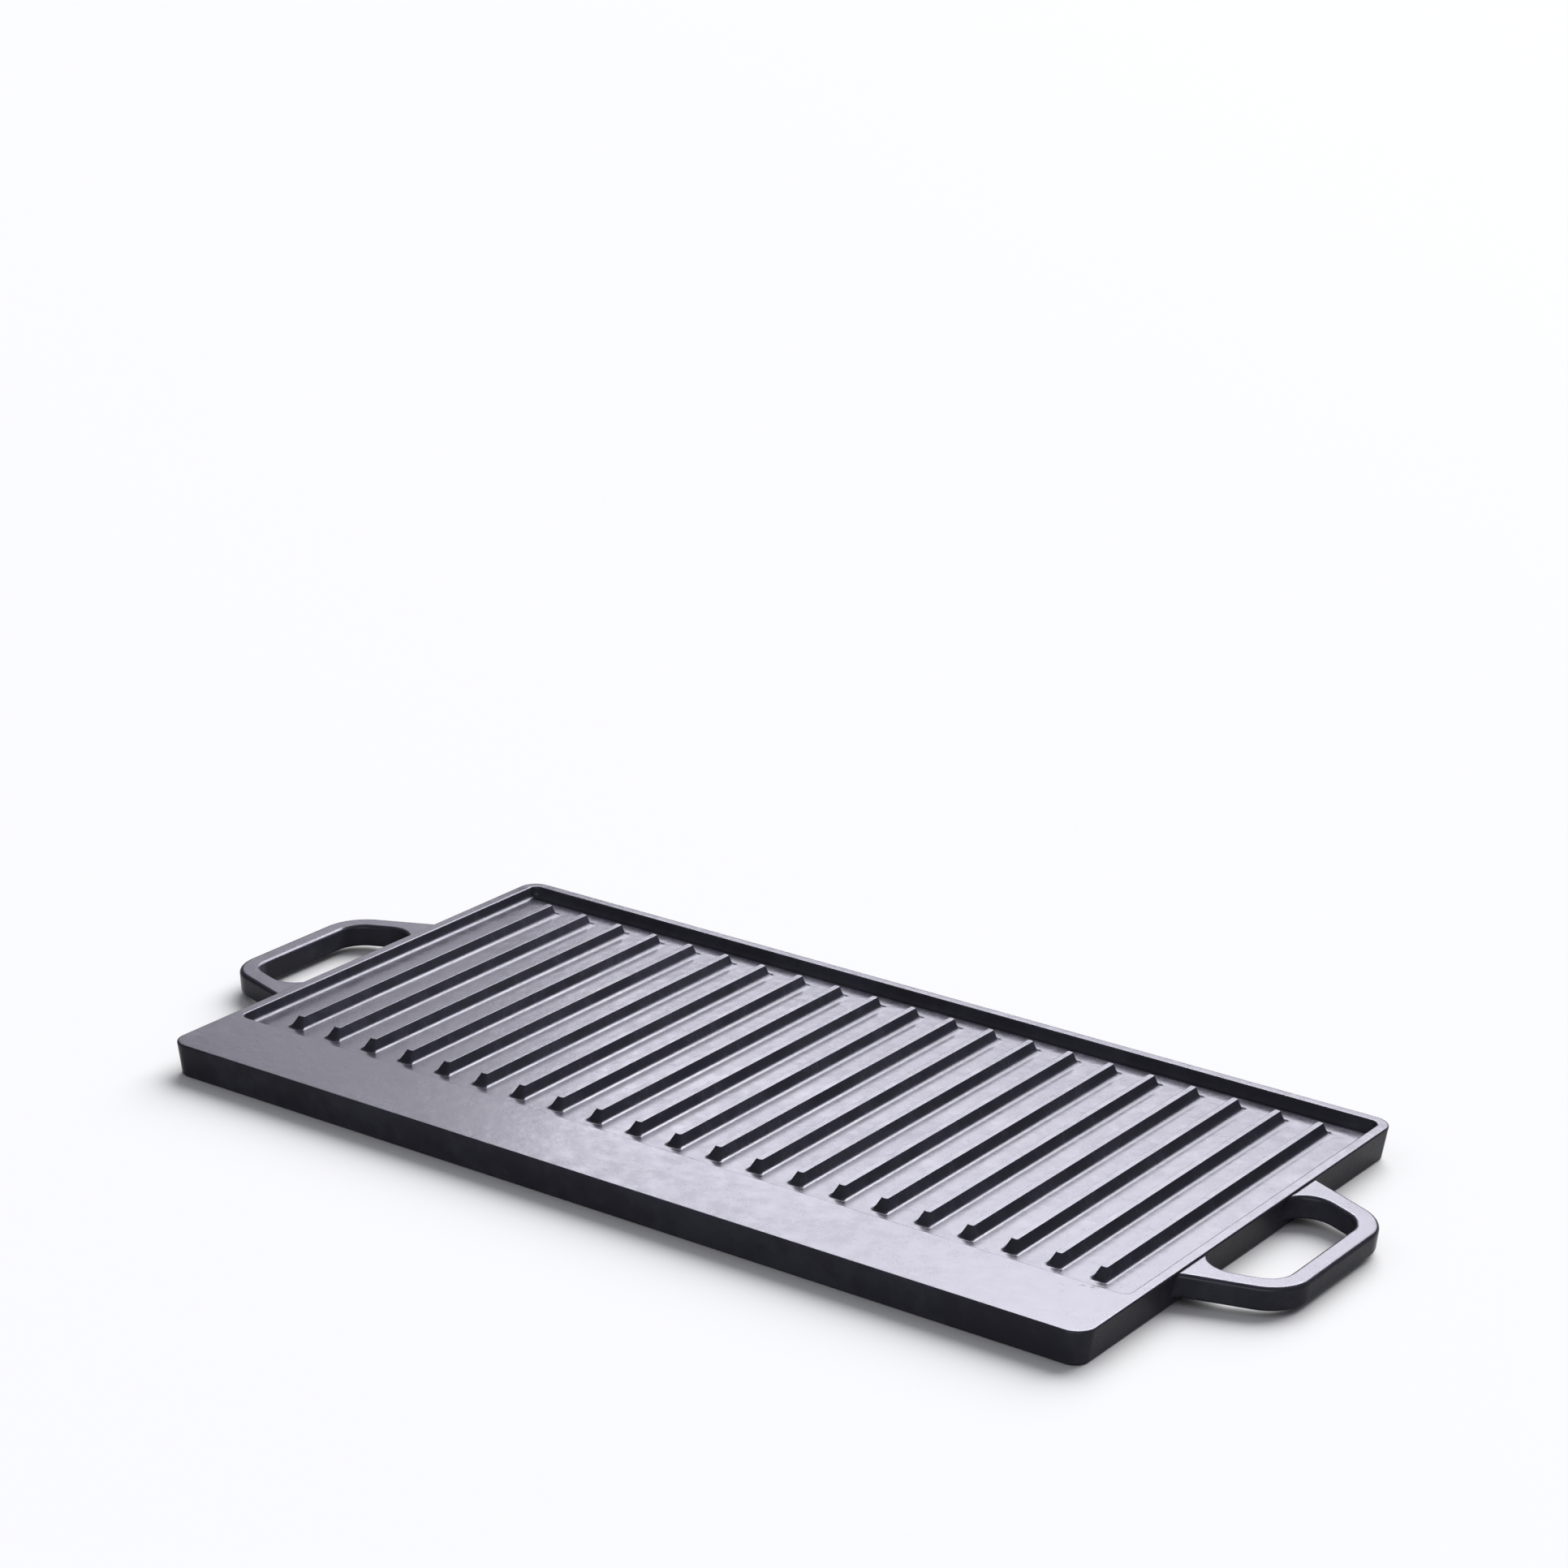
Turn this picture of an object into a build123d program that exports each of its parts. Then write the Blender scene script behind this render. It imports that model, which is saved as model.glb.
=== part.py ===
from build123d import *
import math
import os

# A ribbed griddle plate in cast iron, drawn as the named regions of its one casting.
# Millimetres. +X runs along the plate, +Y to the back rim and +Z up, ribbed side up.
# The origin is on the surface it stands on, under the middle of the plate.

# Plate, measured at its top edge and without the handles
plate_length = 450.0
plate_width = 250.0
plate_height = 15.0
corner_radius = 9.0
wall_draft = 8.5  # degrees that every outer wall leans in towards the base
top_edge_round = 0.8
base_edge_round = 1.2

# Ribbed side: a recess with a narrow rim on three sides and a wide land in front
rim_width = 5.0
land_width = 40.0
recess_depth = 5.0
recess_corner_radius = 4.0
recess_draft = 10.0
web_thickness = 4.0  # iron between the ribbed floor and the smooth side's channel

# Ribs, evenly spread along the recess and parallel to its short side
rib_count = 21
rib_height = 4.6
rib_crest_width = 2.8
rib_crest_corner = 0.8
rib_foot_corner = 1.6
rib_crest_round = 0.4
rib_side_draft = 24.5
rib_front_draft = 37.0  # the end towards the land slopes more than the back end
rib_back_draft = 15.0
rib_end_gap = 12.0  # floor left between a rib's foot and the recess wall

# Smooth side: a flat cooking pad inside a drip channel and a standing rail
rail_width = 6.0
rail_draft = 10.0
tray_corner_radius = 8.0
channel_width = 8.0
pad_rise = 1.0
pad_corner_radius = 5.0
pad_draft = 30.0

# Loop handles, one at each short end
handle_drop = 1.0  # from the plate's top down to the handle's, at the plate
handle_tilt = 2.3  # degrees that the handle slopes down towards its grip
handle_draft = 3.0
handle_thickness = 10.4
handle_reach = 41.0
grip_width = 9.0
arm_width = 10.0
arm_lean = 20.5  # degrees that each arm leans in towards the grip
opening_span = 90.0  # between the arms' inner faces, where they meet the plate
opening_radius = 12.0
arm_flare = 4.0
handle_edge_round = 1.8
root_bite = 0.6  # how far the drawn handle starts inside the wall that trims it

# Straight length that the end regions take past a corner, so that the sides stay plain bars
corner_margin = 2.0


def run_of(depth, draft):
    return depth * math.tan(math.radians(draft))


# Levels
floor_level = plate_height - recess_depth
web_level = floor_level - web_thickness
handle_level = plate_height - handle_drop

# Outlines
recess_length = plate_length - 2 * rim_width
recess_width = plate_width - rim_width - land_width
recess_middle = (land_width - rim_width) / 2
base_length = plate_length - 2 * run_of(plate_height, wall_draft)
base_width = plate_width - 2 * run_of(plate_height, wall_draft)
tray_length = base_length - 2 * rail_width
tray_width = base_width - 2 * rail_width


def block(x_span, y_span, z_span):
    sizes = [high - low for low, high in (x_span, y_span, z_span)]
    middles = [(high + low) / 2 for low, high in (x_span, y_span, z_span)]
    return Pos(*middles) * Box(*sizes)


def drafted_slab(length, width, radius, level, height, draft):
    # height below zero draws the slab downwards; a positive draft narrows it on the way
    outline = Pos(0, 0, level) * RectangleRounded(length, width, radius)
    way = Vector(0, 0, math.copysign(1, height))
    return extrude(outline, amount=abs(height), dir=way, taper=draft)


def layer(solid, low, high):
    reach = plate_length + plate_width
    return solid & block((-reach, reach), (-reach, reach), (low, high))


def split_in_four(ring, front_y, back_y):
    # front and back take the corners; left and right are the plain bars between them
    reach = plate_length + plate_width
    levels = (-plate_height, 2 * plate_height)
    between = (front_y, back_y)
    return {
        "front": ring & block((-reach, reach), (-reach, front_y), levels),
        "back": ring & block((-reach, reach), (back_y, reach), levels),
        "left": ring & block((-reach, 0), between, levels),
        "right": ring & block((0, reach), between, levels),
    }


def plate_blank():
    blank = drafted_slab(plate_length, plate_width, corner_radius, plate_height, -plate_height, wall_draft)
    top_edges = blank.faces().sort_by(Axis.Z)[-1].edges()
    blank = fillet(top_edges, top_edge_round)
    base_edges = blank.faces().sort_by(Axis.Z)[0].edges()
    return fillet(base_edges, base_edge_round)


def ribbed_side_borders(blank):
    recess = Pos(0, recess_middle, 0) * drafted_slab(
        recess_length, recess_width, recess_corner_radius, plate_height, -recess_depth, recess_draft
    )
    ring = layer(blank, floor_level, plate_height) - recess
    corner = recess_corner_radius + corner_margin
    front_y = recess_middle - recess_width / 2 + corner
    back_y = recess_middle + recess_width / 2 - corner
    sides = split_in_four(ring, front_y, back_y)
    return {
        "front_land": sides["front"],
        "back_rim": sides["back"],
        "left_rim": sides["left"],
        "right_rim": sides["right"],
    }


def smooth_side_borders(blank):
    tray = drafted_slab(tray_length, tray_width, tray_corner_radius, 0, web_level, rail_draft)
    ring = layer(blank, 0, web_level) - tray
    corner = tray_corner_radius + corner_margin
    edge_y = tray_width / 2 - corner
    sides = split_in_four(ring, -edge_y, edge_y)
    return {f"underside_{side}_rail": solid for side, solid in sides.items()}


def underside_pad():
    inset = run_of(web_level, rail_draft) + channel_width
    length = tray_length - 2 * inset
    width = tray_width - 2 * inset
    return drafted_slab(length, width, pad_corner_radius, web_level, -pad_rise, pad_draft)


def rib(x):
    foot_width = rib_crest_width + 2 * run_of(rib_height, rib_side_draft)
    foot_length = recess_width - 2 * run_of(recess_depth, recess_draft) - 2 * rib_end_gap
    front_run = run_of(rib_height, rib_front_draft)
    back_run = run_of(rib_height, rib_back_draft)
    crest_length = foot_length - front_run - back_run
    crest_y = (front_run - back_run) / 2
    foot = RectangleRounded(foot_width, foot_length, rib_foot_corner)
    crest = Pos(0, crest_y, rib_height) * RectangleRounded(rib_crest_width, crest_length, rib_crest_corner)
    bar = loft([foot.face(), crest.face()], ruled=True)
    bar = fillet(bar.faces().sort_by(Axis.Z)[-1].edges(), rib_crest_round)
    return Pos(x, recess_middle, floor_level) * bar


def ribs():
    pitch = recess_length / (rib_count + 1)
    middle = (rib_count - 1) / 2
    return {f"rib_{i + 1:02d}": rib((i - middle) * pitch) for i in range(rib_count)}


def rounded_face(points, radii):
    face = make_face(Polyline(*points, close=True))
    for point, radius in zip(points, radii):
        if radius > 0:
            face = fillet(face.vertices().sort_by_distance(point)[0], radius)
    return face


def mirrored(half):
    return half + [(x, -y) for x, y in reversed(half)]


def right_handle(blank):
    edge_x = plate_length / 2
    root_x = edge_x - run_of(handle_drop, wall_draft) - root_bite
    grip_x = edge_x + handle_reach
    lean = math.tan(math.radians(arm_lean))
    arm_step = arm_width / math.cos(math.radians(arm_lean))

    def inner_y(x):
        return opening_span / 2 - (x - edge_x) * lean

    def outer_y(x):
        return inner_y(x) + arm_step

    shoulder_y = outer_y(root_x) + arm_flare + corner_margin
    outer_corners = [
        (root_x - arm_width, -shoulder_y),
        (root_x, -shoulder_y),
        (root_x, -outer_y(root_x)),
        (grip_x, -outer_y(grip_x)),
    ]
    outer_radii = [0, 0, arm_flare, opening_radius + grip_width]
    opening_corners = [
        (root_x, -inner_y(root_x)),
        (grip_x - grip_width, -inner_y(grip_x - grip_width)),
    ]
    loop = rounded_face(mirrored(outer_corners), outer_radii + outer_radii[::-1])
    opening = rounded_face(mirrored(opening_corners), [opening_radius] * 4)

    down = Vector(0, 0, -1)
    solid = extrude(loop, amount=handle_thickness, dir=down, taper=handle_draft)
    solid -= extrude(opening, amount=handle_thickness, dir=down, taper=-handle_draft)
    faces = solid.faces().sort_by(Axis.Z)
    solid = fillet(faces[-1].edges() + faces[0].edges(), handle_edge_round)
    tilted = Pos(edge_x, 0, handle_level) * Rot(0, handle_tilt, 0) * Pos(-edge_x, 0, 0) * solid
    return tilted - blank


def build():
    blank = plate_blank()
    handle = right_handle(blank)
    nodes = {"deck": layer(blank, web_level, floor_level)}
    nodes.update(ribbed_side_borders(blank))
    nodes.update(ribs())
    nodes["underside_pad"] = underside_pad()
    nodes.update(smooth_side_borders(blank))
    nodes["right_handle"] = handle
    nodes["left_handle"] = mirror(handle, about=Plane.YZ)
    return nodes


os.makedirs("parts", exist_ok=True)
for name, solid in build().items():
    export_step(solid, f"parts/{name}.step")
    print(name, round(solid.volume, 1))
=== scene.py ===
import bpy
import bmesh
import math
from mathutils import Matrix, Vector


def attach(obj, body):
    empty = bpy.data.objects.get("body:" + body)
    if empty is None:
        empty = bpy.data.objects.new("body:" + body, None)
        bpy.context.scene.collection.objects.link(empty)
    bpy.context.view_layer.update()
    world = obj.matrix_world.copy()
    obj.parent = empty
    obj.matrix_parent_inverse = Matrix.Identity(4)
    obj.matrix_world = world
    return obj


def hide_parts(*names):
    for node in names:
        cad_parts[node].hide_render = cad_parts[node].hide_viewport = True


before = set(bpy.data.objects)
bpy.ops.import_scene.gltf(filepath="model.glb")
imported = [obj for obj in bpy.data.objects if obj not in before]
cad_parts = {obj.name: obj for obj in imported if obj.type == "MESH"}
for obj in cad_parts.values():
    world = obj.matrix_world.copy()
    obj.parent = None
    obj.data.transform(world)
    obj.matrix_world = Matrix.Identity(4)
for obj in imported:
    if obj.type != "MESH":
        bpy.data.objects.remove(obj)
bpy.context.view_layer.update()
mm = 0.001


view = {
    "azimuth": 34.18,       # degrees to the right of straight ahead
    "elevation": 19.076,
    "roll": 1.755,
    "distance": 1.79481,
    "slideRight": 0.004228,
    "slideUp": 0.137778,
    "lens": 98.658, "sensorWidth": 36,
    "nearest": 0.05,
}


def addCamera(spec):
    az, el, roll = (math.radians(spec[k]) for k in ("azimuth", "elevation", "roll"))
    back = Vector((math.sin(az) * math.cos(el), -math.cos(az) * math.cos(el), math.sin(el)))
    right = (-back).cross(Vector((0, 0, 1))).normalized()
    up = right.cross(-back)
    rolledRight = right * math.cos(roll) + up * math.sin(roll)
    rolledUp = up * math.cos(roll) - right * math.sin(roll)
    place = back * spec["distance"] + rolledRight * spec["slideRight"] + rolledUp * spec["slideUp"]
    data = bpy.data.cameras.new("plateCamera")
    data.lens = spec["lens"]
    data.sensor_width = spec["sensorWidth"]
    data.clip_start = spec["nearest"]
    camera = bpy.data.objects.new("plateCamera", data)
    turn = Matrix((rolledRight, rolledUp, back)).transposed().to_4x4()
    camera.matrix_world = Matrix.Translation(place) @ turn
    bpy.context.scene.collection.objects.link(camera)
    bpy.context.scene.camera = camera


addCamera(view)
print("camera set")



class Val:
    # a socket that takes part in ordinary arithmetic
    def __init__(self, maker, socket):
        self.maker, self.socket = maker, socket

    def maths(self, operation, a, b=None):
        values = {0: a} if b is None else {0: a, 1: b}
        return self.maker.node("ShaderNodeMath", {"operation": operation}, values).out(0)

    def __add__(self, other):
        return self.maths("ADD", self, other)

    def __radd__(self, other):
        return self.maths("ADD", other, self)

    def __sub__(self, other):
        return self.maths("SUBTRACT", self, other)

    def __rsub__(self, other):
        return self.maths("SUBTRACT", other, self)

    def __mul__(self, other):
        return self.maths("MULTIPLY", self, other)

    def __rmul__(self, other):
        return self.maths("MULTIPLY", other, self)


class Made:
    # a node just added, with its outputs by name or number
    def __init__(self, maker, node):
        self.maker, self.node = maker, node

    def out(self, which):
        return Val(self.maker, self.node.outputs[which])


class Maker:
    def __init__(self, tree):
        self.tree = tree

    def node(self, kind, settings=None, values=None):
        made = self.tree.nodes.new(kind)
        for name, value in (settings or {}).items():
            setattr(made, name, value)
        for name, value in (values or {}).items():
            if isinstance(value, Val):
                self.tree.links.new(value.socket, made.inputs[name])
            else:
                made.inputs[name].default_value = value
        return Made(self, made)

    def blendColour(self, factor, a, b):
        return self.node("ShaderNodeMix", {"data_type": "RGBA"}, {0: factor, 6: a, 7: b}).out(2)

    def noise(self, vector, scale, detail=2.0, rough=0.5):
        return self.node("ShaderNodeTexNoise", None, {
            "Vector": vector, "Scale": scale, "Detail": detail, "Roughness": rough}).out(0)

    def band(self, value, low, high, toLow=0.0, toHigh=1.0):
        # value between low and high, eased into toLow to toHigh
        return self.node("ShaderNodeMapRange", {"interpolation_type": "SMOOTHSTEP"}, {
            "Value": value, "From Min": low, "From Max": high, "To Min": toLow, "To Max": toHigh}).out(0)



iron = {
    "base": (0.0072, 0.0073, 0.0092, 1),
    "bloom": (0.0104, 0.0104, 0.0132, 1),   # paler, worn seasoning
    "wornFrom": 0.42, "wornTo": 0.62,      # where between base and bloom the seasoning turns
    "cloudSize": 22.0, "cloudShare": 0.6,
    "patchSize": 120.0, "patchShare": 0.4,
    "roughness": 0.25, "cloudWander": 0.18, "patchWander": 0.24,
    "ior": 1.13,
    "skinSize": 180.0, "skinDepth": 0.0001,
    "grainSize": 900.0, "grainDepth": 0.000008,
    # a small casting mark in front of the last rib
    "scarPlace": (0.204, -0.0835, 0.0105), "scarReach": 0.009, "scarCore": 0.0018,
    "scarSize": 420.0, "scarDepth": 0.00022, "scarFrom": 0.5, "scarTo": 0.66,
}


def seasonedIron(spec):
    material = bpy.data.materials.new("seasonedIron")
    material.use_nodes = True
    tree = material.node_tree
    tree.nodes.clear()
    maker = Maker(tree)
    place = maker.node("ShaderNodeTexCoord").out("Object")
    clouds = maker.noise(place, spec["cloudSize"], 4.0, 0.6)
    patches = maker.noise(place, spec["patchSize"], 4.0, 0.65)
    skin = maker.noise(place, spec["skinSize"], 3.0, 0.55)
    grain = maker.noise(place, spec["grainSize"], 2.0, 0.5)
    wear = clouds * spec["cloudShare"] + patches * spec["patchShare"]
    worn = maker.band(wear, spec["wornFrom"], spec["wornTo"])
    colour = maker.blendColour(worn, spec["base"], spec["bloom"])
    wander = (clouds - 0.5) * spec["cloudWander"] + (patches - 0.5) * spec["patchWander"]
    roughness = wander + spec["roughness"]
    away = maker.node("ShaderNodeVectorMath", {"operation": "DISTANCE"},
                      {0: place, 1: spec["scarPlace"]}).out("Value")
    nearness = maker.band(away, spec["scarCore"], spec["scarReach"], 1.0, 0.0)
    pits = maker.band(maker.noise(place, spec["scarSize"], 3.0, 0.6), spec["scarFrom"], spec["scarTo"])
    scarred = pits * nearness
    height = skin * spec["skinDepth"] + grain * spec["grainDepth"] - scarred * spec["scarDepth"]
    bump = maker.node("ShaderNodeBump", None, {"Strength": 1.0, "Distance": 1.0, "Height": height}).out(0)
    shader = maker.node("ShaderNodeBsdfPrincipled", None, {
        "Base Color": colour, "Roughness": roughness, "IOR": spec["ior"], "Normal": bump, "Metallic": 0.0})
    output = maker.node("ShaderNodeOutputMaterial")
    tree.links.new(shader.node.outputs[0], output.node.inputs["Surface"])
    return material


ironMaterial = seasonedIron(iron)
print("material made")



def roundedLoop(halfX, halfY, radius, middleY, z, steps):
    # points anticlockwise round a rectangle with rounded corners
    points = []
    corners = ((1, 1, 0), (-1, 1, 90), (-1, -1, 180), (1, -1, 270))
    for signX, signY, start in corners:
        cx = signX * (halfX - radius)
        cy = signY * (halfY - radius)
        for k in range(steps + 1):
            angle = math.radians(start + 90 * k / steps)
            x = cx + radius * math.cos(angle)
            y = middleY + cy + radius * math.sin(angle)
            points.append(Vector((x, y, z)))
    return points


def easedProfile(corners, steps=6):
    # a chain of (inset, height, rounding) corners becomes a smooth line of (inset, height) points
    line = []
    for k, corner in enumerate(corners):
        here = Vector(corner[:2])
        radius = corner[2] if len(corner) > 2 else 0
        if radius <= 0:
            line.append(tuple(here))
            continue
        before = (Vector(corners[k - 1][:2]) - here).normalized()
        after = (Vector(corners[k + 1][:2]) - here).normalized()
        half = before.angle(after) / 2
        reach = radius / math.tan(half)
        middle = here + (before + after).normalized() * radius / math.sin(half)
        start = here + before * reach - middle
        end = here + after * reach - middle
        turn = start.angle(end)
        for j in range(steps + 1):
            share = j / steps
            a = math.sin((1 - share) * turn) / math.sin(turn)
            b = math.sin(share * turn) / math.sin(turn)
            line.append(tuple(middle + start * a + end * b))
    return line


def meshFrom(name, rings, closed=False, sharpRings=()):
    # rings of equal length, skinned in order; capped at both ends, or closed on themselves
    mesh = bpy.data.meshes.new(name)
    bm = bmesh.new()
    rows = [[bm.verts.new(p) for p in ring] for ring in rings]
    count = len(rows[0])
    pairs = list(zip(rows, rows[1:])) + ([(rows[-1], rows[0])] if closed else [])
    for low, high in pairs:
        for k in range(count):
            m = (k + 1) % count
            bm.faces.new((low[k], low[m], high[m], high[k]))
    if not closed:
        bm.faces.new(list(reversed(rows[0])))
        bm.faces.new(rows[-1])
    for index in sharpRings:
        for k in range(count):
            bm.edges.get((rows[index][k], rows[index][(k + 1) % count])).smooth = False
    bmesh.ops.recalc_face_normals(bm, faces=bm.faces)
    for face in bm.faces:
        face.smooth = True
    bm.to_mesh(mesh)
    bm.free()
    piece = bpy.data.objects.new(name, mesh)
    bpy.context.scene.collection.objects.link(piece)
    return piece


def bake(piece):
    # the piece's live modifiers become plain mesh
    depsgraph = bpy.context.evaluated_depsgraph_get()
    mesh = bpy.data.meshes.new_from_object(piece.evaluated_get(depsgraph))
    piece.modifiers.clear()
    piece.data = mesh


def settleNormals(piece):
    # large flat faces keep their own light; the narrow rounds carry the turn
    weigh = piece.modifiers.new("settle", "WEIGHTED_NORMAL")
    weigh.weight = 100
    weigh.keep_sharp = True
    bake(piece)



plate = {
    "length": 450, "width": 250, "height": 15,
    "corner": 9, "wallDraft": 8.5, "topRound": 0.8, "baseRound": 1.2,
    "rim": 5, "land": 40, "recessDepth": 5, "recessCorner": 4, "recessDraft": 10,
    "recessFoot": 2.5,       # fillet where the recess wall meets the floor
    "railWidth": 6, "railDraft": 10, "trayDepth": 6, "trayCorner": 8, "channel": 8,
    "railRound": 1.0, "trayFoot": 1.5,
    "padRise": 1, "padCorner": 5, "padDraft": 30, "padRound": 0.5,
    "tightest": 0.3,         # the least corner that a ring keeps
    "seam": 2,               # flat strip between one wall and the next
    "rimStrip": 1.6, "floorStrip": 3.2,
    "cornerSteps": 24,
}


def run(depth, draft):
    return depth * math.tan(math.radians(draft))


def plateRings(spec):
    steps = spec["cornerSteps"]

    def family(length, width, radius, middleY, corners):
        rings = []
        for inset, height in easedProfile(corners):
            corner = max(radius - inset, spec["tightest"])
            rings.append(roundedLoop((length / 2 - inset) * mm, (width / 2 - inset) * mm,
                                     corner * mm, middleY * mm, height * mm, steps))
        return rings

    lean = run(spec["height"], spec["wallDraft"])
    trayLength = spec["length"] - 2 * lean - 2 * spec["railWidth"]
    trayWidth = spec["width"] - 2 * lean - 2 * spec["railWidth"]
    trayLean = run(spec["trayDepth"], spec["railDraft"])
    padInset = trayLean + spec["channel"]
    padLean = run(spec["padRise"], spec["padDraft"])
    padLevel = spec["trayDepth"] - spec["padRise"]
    recessLength = spec["length"] - 2 * spec["rim"]
    recessWidth = spec["width"] - spec["rim"] - spec["land"]
    recessMiddle = (spec["land"] - spec["rim"]) / 2
    recessLean = run(spec["recessDepth"], spec["recessDraft"])
    floorLevel = spec["height"] - spec["recessDepth"]
    rings = family(trayLength - 2 * padInset, trayWidth - 2 * padInset, spec["padCorner"], 0,
                   [(2 * spec["seam"], padLevel), (padLean, padLevel, spec["padRound"]),
                    (0, spec["trayDepth"], spec["padRound"]), (-spec["seam"], spec["trayDepth"])])
    rings += family(trayLength, trayWidth, spec["trayCorner"], 0,
                    [(2 * spec["seam"], spec["trayDepth"]), (trayLean, spec["trayDepth"], spec["trayFoot"]),
                     (0, 0, spec["railRound"]), (-spec["seam"], 0)])
    rings += family(spec["length"], spec["width"], spec["corner"], 0,
                    [(lean + spec["seam"], 0), (lean, 0, spec["baseRound"]),
                     (0, spec["height"], spec["topRound"]), (spec["seam"], spec["height"])])
    rings += family(recessLength, recessWidth, spec["recessCorner"], recessMiddle,
                    [(-spec["rimStrip"], spec["height"]), (0, spec["height"], spec["topRound"]),
                     (recessLean, floorLevel, spec["recessFoot"]), (spec["floorStrip"], floorLevel)])
    return rings


castPlate = meshFrom("castPlate", plateRings(plate))
settleNormals(castPlate)
castPlate.data.materials.clear()
castPlate.data.materials.append(ironMaterial)
print("plate made")


ribs = {
    "count": 21, "height": 4.6, "endGap": 12,
    "crestWidth": 2.8, "crestCorner": 0.8, "crestRound": 0.45,
    "sideDraft": 24.5, "frontDraft": 37, "backDraft": 15, "footCorner": 1.6,
    "footRound": 3.0, "cornerSteps": 5, "roundSteps": 5,
    "leadIn": 4, "leadOut": 2,                # straight floor and crest either side of the section
    "sunk": 0.3, "apron": 0.7, "lift": 0.01,  # a flat lip that melts into the floor
}


def ribRings(spec, plateSpec):
    steps = spec["cornerSteps"]
    frontRun = run(spec["height"], spec["frontDraft"])
    backRun = run(spec["height"], spec["backDraft"])
    footWidth = spec["crestWidth"] + 2 * run(spec["height"], spec["sideDraft"])
    recessWidth = plateSpec["width"] - plateSpec["rim"] - plateSpec["land"]
    recessLean = run(plateSpec["recessDepth"], plateSpec["recessDraft"])
    footLength = recessWidth - 2 * recessLean - 2 * spec["endGap"]
    crestLength = footLength - frontRun - backRun
    middleY = (plateSpec["land"] - plateSpec["rim"]) / 2
    level = plateSpec["height"] - plateSpec["recessDepth"]
    foot = roundedLoop(footWidth / 2, footLength / 2, spec["footCorner"], 0, 0, steps)
    crest = roundedLoop(spec["crestWidth"] / 2, crestLength / 2, spec["crestCorner"],
                        (frontRun - backRun) / 2, 0, steps)
    columns = []
    for low, high in zip(foot, crest):
        inward = (high - low).xy
        lean = inward.length
        inward.normalize()
        section = [(-spec["leadIn"], 0), (0, 0, spec["footRound"]),
                   (lean, spec["height"], spec["crestRound"]), (lean + spec["leadOut"], spec["height"])]
        line = easedProfile(section, spec["roundSteps"])[1:-1]
        apron = line[0][0] - spec["apron"]
        line = [(apron, -spec["sunk"]), (apron, spec["lift"])] + [(d, z + spec["lift"]) for d, z in line]
        columns.append([Vector(((low.x + inward.x * d) * mm, (low.y + inward.y * d + middleY) * mm,
                                (z + level) * mm)) for d, z in line])
    return [list(ring) for ring in zip(*columns)]


def ribRowTree():
    # copies one rib along X, so many at such a pitch, and gives them all one finish
    tree = bpy.data.node_groups.new("ribRow", "GeometryNodeTree")
    face = tree.interface
    face.new_socket("Rib", in_out="INPUT", socket_type="NodeSocketGeometry")
    face.new_socket("Count", in_out="INPUT", socket_type="NodeSocketInt")
    face.new_socket("Pitch", in_out="INPUT", socket_type="NodeSocketFloat")
    face.new_socket("Finish", in_out="INPUT", socket_type="NodeSocketMaterial")
    face.new_socket("Ribs", in_out="OUTPUT", socket_type="NodeSocketGeometry")
    nodes, links = tree.nodes, tree.links
    given = nodes.new("NodeGroupInput")
    less = nodes.new("ShaderNodeMath")
    less.operation = "SUBTRACT"
    less.inputs[1].default_value = 1
    half = nodes.new("ShaderNodeMath")
    half.operation = "MULTIPLY"
    half.inputs[1].default_value = -0.5
    start = nodes.new("ShaderNodeMath")
    start.operation = "MULTIPLY"
    startVector = nodes.new("ShaderNodeCombineXYZ")
    stepVector = nodes.new("ShaderNodeCombineXYZ")
    line = nodes.new("GeometryNodeMeshLine")
    placed = nodes.new("GeometryNodeInstanceOnPoints")
    real = nodes.new("GeometryNodeRealizeInstances")
    finish = nodes.new("GeometryNodeSetMaterial")
    result = nodes.new("NodeGroupOutput")
    links.new(given.outputs["Count"], less.inputs[0])
    links.new(less.outputs[0], half.inputs[0])
    links.new(half.outputs[0], start.inputs[0])
    links.new(given.outputs["Pitch"], start.inputs[1])
    links.new(start.outputs[0], startVector.inputs["X"])
    links.new(given.outputs["Pitch"], stepVector.inputs["X"])
    links.new(given.outputs["Count"], line.inputs["Count"])
    links.new(startVector.outputs[0], line.inputs["Start Location"])
    links.new(stepVector.outputs[0], line.inputs["Offset"])
    links.new(line.outputs[0], placed.inputs["Points"])
    links.new(given.outputs["Rib"], placed.inputs["Instance"])
    links.new(placed.outputs[0], real.inputs[0])
    links.new(real.outputs[0], finish.inputs["Geometry"])
    links.new(given.outputs["Finish"], finish.inputs["Material"])
    links.new(finish.outputs[0], result.inputs[0])
    return tree


def makeRibs(spec, plateSpec):
    row = meshFrom("grillRibs", ribRings(spec, plateSpec), sharpRings=(1,))
    settleNormals(row)
    modifier = row.modifiers.new("row", "NODES")
    modifier.node_group = ribRowTree()
    pitch = (plateSpec["length"] - 2 * plateSpec["rim"]) / (spec["count"] + 1)
    wanted = {"Count": spec["count"], "Pitch": pitch * mm, "Finish": ironMaterial}
    for item in modifier.node_group.interface.items_tree:
        if item.in_out == "INPUT" and item.name in wanted:
            modifier[item.identifier] = wanted[item.name]
    bake(row)
    return row


grillRibs = makeRibs(ribs, plate)
print("ribs made", len(grillRibs.data.polygons))


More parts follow.
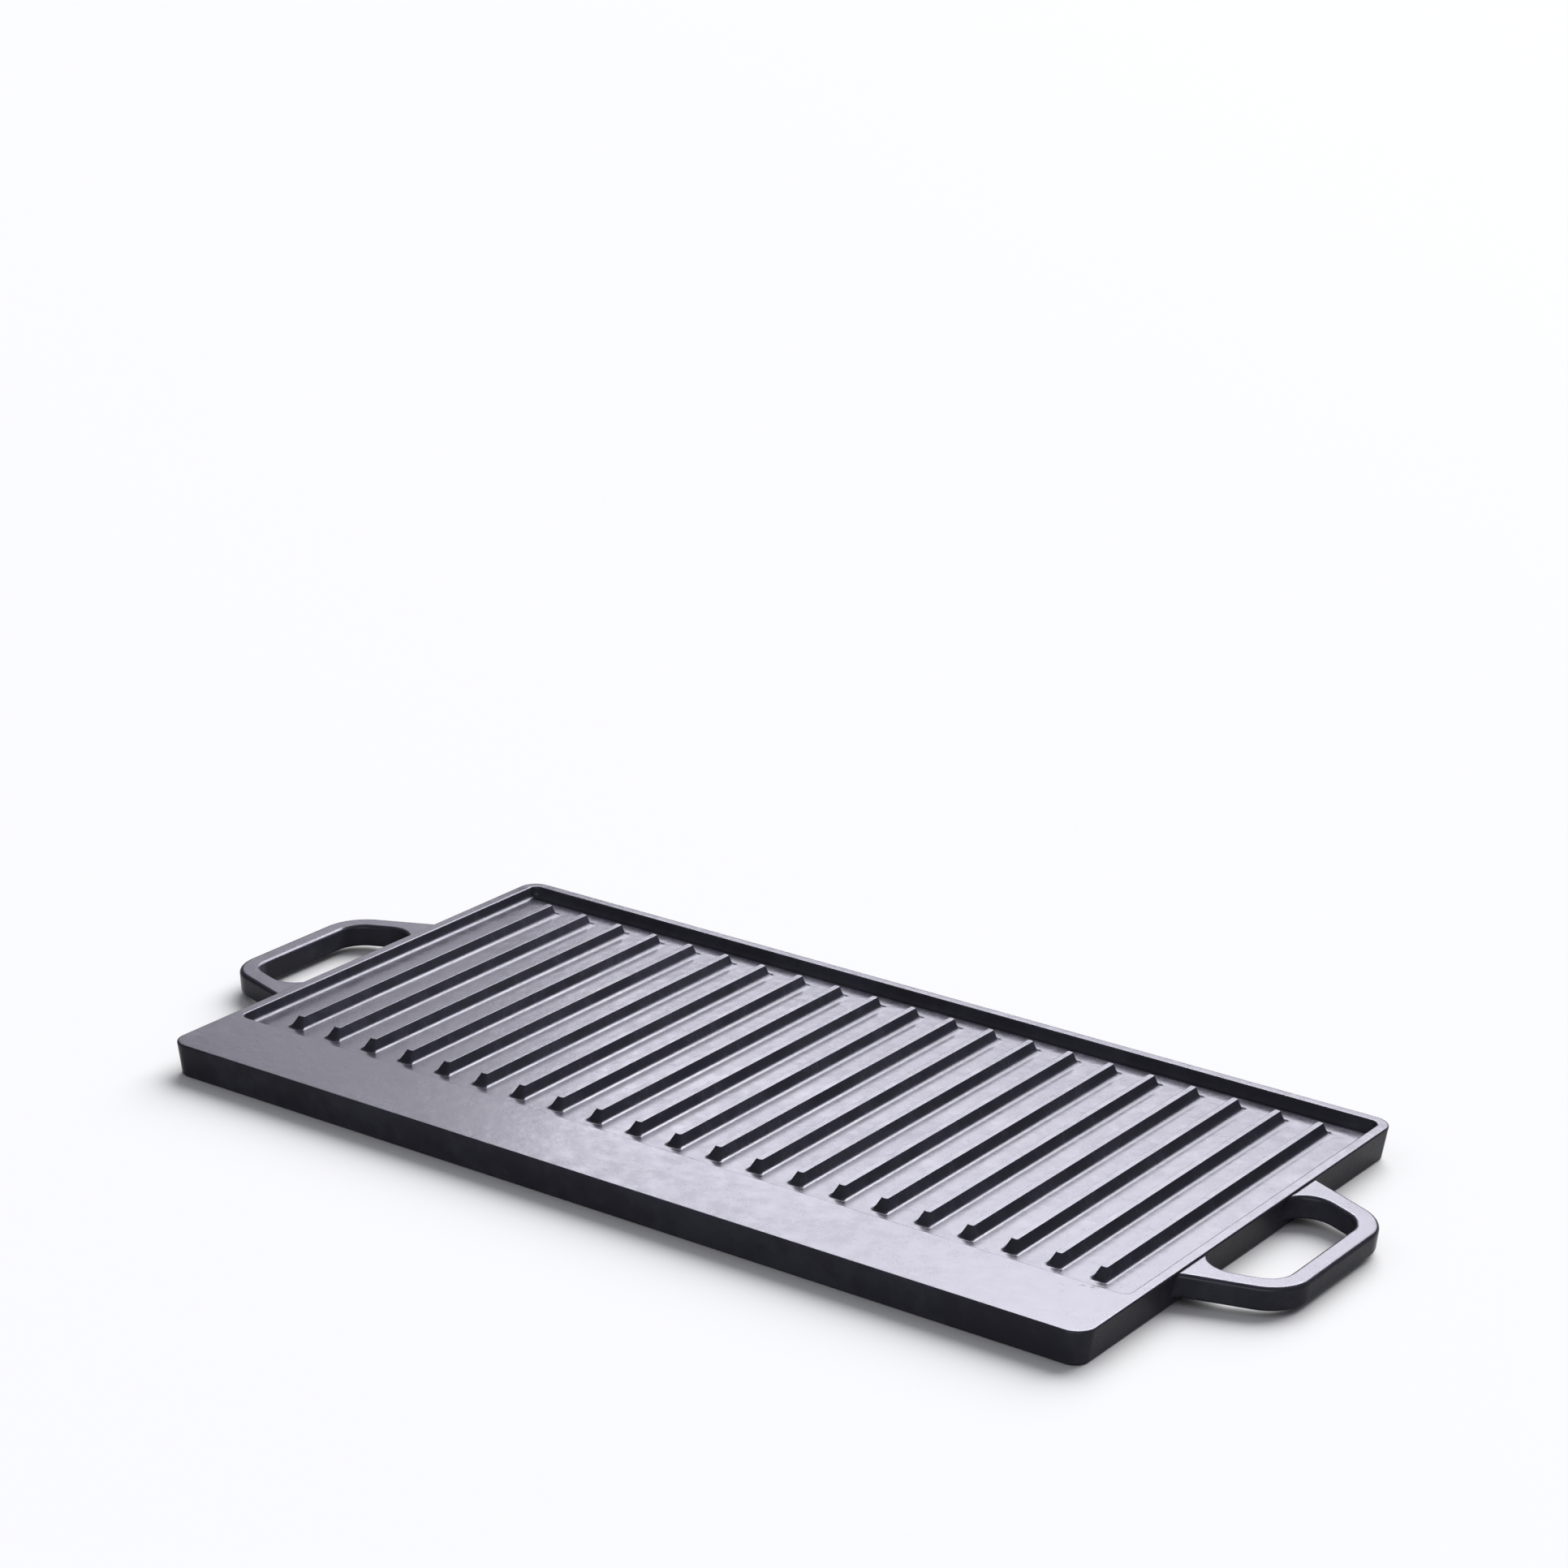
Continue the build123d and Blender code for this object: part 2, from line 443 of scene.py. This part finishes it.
handle = {
    "drop": 1, "tilt": 2.3, "draft": 3, "thickness": 10.4, "reach": 41,
    "gripWidth": 9, "armWidth": 10, "armLean": 20.5, "openingSpan": 90,
    "openingCorner": 12, "flare": 4, "edgeRound": 1.8,
    "rootBite": 0.6, "hiddenDepth": 4.4,  # the loop closes inside the plate's wall
    "gripSteps": 20, "flareSteps": 8, "edgeSteps": 8, "sectionLead": 3,
    "hiddenCorner": 0.1,      # the two corners that close the loop out of sight
    "flareShare": 0.69,       # how far along the flare the metal has left the wall
    "hiddenMargin": 0.8, "wallGap": 0.05, "rootBand": 0.3, "hiddenBand": 0.5,
}


def filletedLoop(corners):
    # corners (x, y, radius, steps) in order round the loop
    loop = []
    total = len(corners)
    for k, (x, y, radius, steps) in enumerate(corners):
        here = Vector((x, y))
        before = (Vector(corners[k - 1][:2]) - here).normalized()
        after = (Vector(corners[(k + 1) % total][:2]) - here).normalized()
        half = before.angle(after) / 2
        middle = here + (before + after).normalized() * radius / math.sin(half)
        start = here + before * radius / math.tan(half) - middle
        end = here + after * radius / math.tan(half) - middle
        turn = start.angle(end)
        for j in range(steps + 1):
            share = j / steps
            near = math.sin((1 - share) * turn) / math.sin(turn)
            far = math.sin(share * turn) / math.sin(turn)
            loop.append(middle + start * near + end * far)
    return loop


def outwardNormals(loop):
    normals = []
    for k, point in enumerate(loop):
        ahead = (loop[(k + 1) % len(loop)] - point).normalized()
        behind = (point - loop[k - 1]).normalized()
        along = (ahead + behind).normalized()
        normals.append(Vector((along.y, -along.x)))
    return normals


def bothHalves(half):
    return half + [(x, -y, radius, steps) for x, y, radius, steps in reversed(half)]


def handleRings(spec, plateSpec):
    edgeX = plateSpec["length"] / 2
    lean = math.tan(math.radians(spec["armLean"]))
    armStep = spec["armWidth"] / math.cos(math.radians(spec["armLean"]))
    gripX = edgeX + spec["reach"]
    innerGripX = gripX - spec["gripWidth"]
    rootX = edgeX - run(spec["drop"], plateSpec["wallDraft"]) - spec["rootBite"]
    hiddenX = edgeX - spec["hiddenDepth"]

    def innerY(x):
        return spec["openingSpan"] / 2 - (x - edgeX) * lean

    def outerY(x):
        return innerY(x) + armStep

    shoulderY = outerY(rootX) + spec["flare"] + 1
    arc, flareArc = spec["gripSteps"], spec["flareSteps"]
    rootArc = flareArc + 4  # the flare and the two hidden corners answer to the opening's root corner
    outer = filletedLoop(bothHalves([
        (gripX, outerY(gripX), spec["openingCorner"] + spec["gripWidth"], arc),
        (rootX, outerY(rootX), spec["flare"], flareArc),
        (rootX, shoulderY, spec["hiddenCorner"], 1),
        (hiddenX, shoulderY, spec["hiddenCorner"], 1)]))
    inner = filletedLoop(bothHalves([
        (innerGripX, innerY(innerGripX), spec["openingCorner"], arc),
        (rootX, innerY(rootX), spec["openingCorner"], rootArc)]))
    outerWay, innerWay = outwardNormals(outer), outwardNormals(inner)
    top = edgeX, plateSpec["height"] - spec["drop"]
    turn = math.radians(spec["tilt"])
    wallLean = math.tan(math.radians(plateSpec["wallDraft"]))
    flareEnd = outerY(rootX) + spec["flare"] * spec["flareShare"]

    def placed(x, y, z, rooted):
        tiltedX = top[0] + (x - top[0]) * math.cos(turn) + z * math.sin(turn)
        tiltedZ = top[1] - (x - top[0]) * math.sin(turn) + z * math.cos(turn)
        if rooted:
            wallX = edgeX - (plateSpec["height"] - tiltedZ) * wallLean
            tiltedX = min(max(tiltedX, hiddenX + spec["hiddenMargin"]), wallX - spec["wallGap"])
        return Vector((tiltedX, y, tiltedZ)) * mm

    low = run(spec["thickness"], spec["draft"])
    corners = [(spec["sectionLead"], 0), (0, 0, spec["edgeRound"]),
               (low, -spec["thickness"], spec["edgeRound"]), (spec["sectionLead"], -spec["thickness"])]
    section = easedProfile(corners, spec["edgeSteps"])
    rings = []
    for depth, z in section:
        ring = []
        for point, way in zip(outer, outerWay):
            moved = point - way * depth
            if point.x < hiddenX + spec["hiddenBand"]:
                ring.append(placed(hiddenX, moved.y, z, False))
            else:
                ring.append(placed(moved.x, moved.y, z, abs(point.y) > flareEnd))
        rings.append(ring)
    for depth, z in reversed(section):
        ring = []
        for point, way in zip(inner, innerWay):
            moved = point + way * depth
            ring.append(placed(moved.x, moved.y, z, point.x < rootX + spec["rootBand"]))
        rings.append(ring)
    return rings


def makeHandle(name, spec, side):
    rings = []
    for ring in handleRings(spec, plate):
        rings.append([Vector((point.x * side, point.y, point.z)) for point in ring])
    piece = meshFrom(name, rings, closed=True)
    settleNormals(piece)
    piece.data.materials.clear()
    piece.data.materials.append(ironMaterial)
    return piece


rightLoop = makeHandle("rightLoop", handle, 1)
leftLoop = makeHandle("leftLoop", handle, -1)
print("handles made")


studio = {
    "floorColour": (0.56, 0.56, 0.565, 1), "floorRoughness": 0.9, "floorGloss": 0.1, "floorReach": 30,
    "roomColour": (0.93, 0.94, 1.0, 1),
    "horizon": 0.12, "zenith": 0.72,      # the room's own glow, from low to overhead
    "glowFrom": 0.25, "glowTo": 0.85,     # heights between which it rises
    "keyStrength": 5.7, "keyAngle": 58,   # wide key that lights and shades the floor
    "keyFrom": (-0.08, 0.85, 0.77),
    "glossColour": (0.9, 0.88, 1.0),
    "boxes": (                            # softboxes that only gloss the iron: radiance, place, size
        ("backSoftbox", 25.5, (-0.23, 1.17, 0.88), (1.56, 0.8)),
        ("sideSoftbox", 5.6, (-1.18, 1.08, 0.8), (0.32, 0.9)),
        ("highStrip", 86.0, (-0.05, 0.95, 0.97), (0.9, 0.3)),
        ("frontSoftbox", 11.0, (0.8, -1.5, 0.72), (2.2, 0.9)),
    ),
}


def addFloor(spec):
    mesh = bpy.data.meshes.new("floor")
    bm = bmesh.new()
    bmesh.ops.create_grid(bm, x_segments=1, y_segments=1, size=spec["floorReach"])
    bm.to_mesh(mesh)
    bm.free()
    floor = bpy.data.objects.new("floor", mesh)
    bpy.context.scene.collection.objects.link(floor)
    material = bpy.data.materials.new("paleFloor")
    material.use_nodes = True
    shader = material.node_tree.nodes["Principled BSDF"]
    shader.inputs["Base Color"].default_value = spec["floorColour"]
    shader.inputs["Roughness"].default_value = spec["floorRoughness"]
    shader.inputs["Specular IOR Level"].default_value = spec["floorGloss"]
    mesh.materials.append(material)
    return floor


def addWorld(spec):
    world = bpy.data.worlds.new("studioWorld")
    world.use_nodes = True
    bpy.context.scene.world = world
    tree = world.node_tree
    tree.nodes.clear()
    maker = Maker(tree)
    direction = maker.node("ShaderNodeTexCoord").out("Generated")
    height = maker.node("ShaderNodeSeparateXYZ", None, {0: direction}).out("Z")
    level = maker.band(height, spec["glowFrom"], spec["glowTo"], spec["horizon"], spec["zenith"])
    background = maker.node("ShaderNodeBackground", None, {"Color": spec["roomColour"], "Strength": level})
    output = maker.node("ShaderNodeOutputWorld")
    tree.links.new(background.node.outputs[0], output.node.inputs["Surface"])


def aimed(place, aim):
    way = Vector(aim) - Vector(place)
    return Matrix.Translation(place) @ way.to_track_quat("-Z", "Y").to_matrix().to_4x4()


def onlyLights(light, name, pieces):
    chosen = bpy.data.collections.new(name)
    for piece in pieces:
        chosen.objects.link(piece)
    light.light_linking.receiver_collection = chosen


def addKey(spec, pieces):
    data = bpy.data.lights.new("floorKey", "SUN")
    data.energy = spec["keyStrength"]
    data.angle = math.radians(spec["keyAngle"])
    light = bpy.data.objects.new("floorKey", data)
    light.matrix_world = aimed(spec["keyFrom"], (0, 0, 0))
    bpy.context.scene.collection.objects.link(light)
    onlyLights(light, "keyLit", pieces)


def addSoftboxes(spec, pieces):
    for name, radiance, place, size in spec["boxes"]:
        data = bpy.data.lights.new(name, "AREA")
        data.shape = "RECTANGLE"
        data.size, data.size_y = size
        data.energy = radiance * math.pi * data.size * data.size_y
        data.color = spec["glossColour"]
        light = bpy.data.objects.new(name, data)
        light.matrix_world = aimed(place, (0, 0, 0))
        light.visible_camera = False
        bpy.context.scene.collection.objects.link(light)
        onlyLights(light, name + "Lit", pieces)


floor = addFloor(studio)
addWorld(studio)
addKey(studio, (floor,))
addSoftboxes(studio, (castPlate, grillRibs, rightLoop, leftLoop))
bpy.context.scene.view_settings.view_transform = "Standard"
bpy.context.scene.view_settings.look = "None"
print("studio lit")


borders = ["front_land", "back_rim", "left_rim", "right_rim", "underside_front_rail", "underside_back_rail",
           "underside_left_rail", "underside_right_rail"]
ribNodes = [f"rib_{number:02d}" for number in range(1, ribs["count"] + 1)]
stands = {castPlate: ["deck", "underside_pad"] + borders, grillRibs: ribNodes,
          rightLoop: ["right_handle"], leftLoop: ["left_handle"]}
for piece, nodes in stands.items():
    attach(piece, "root")
    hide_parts(*nodes)
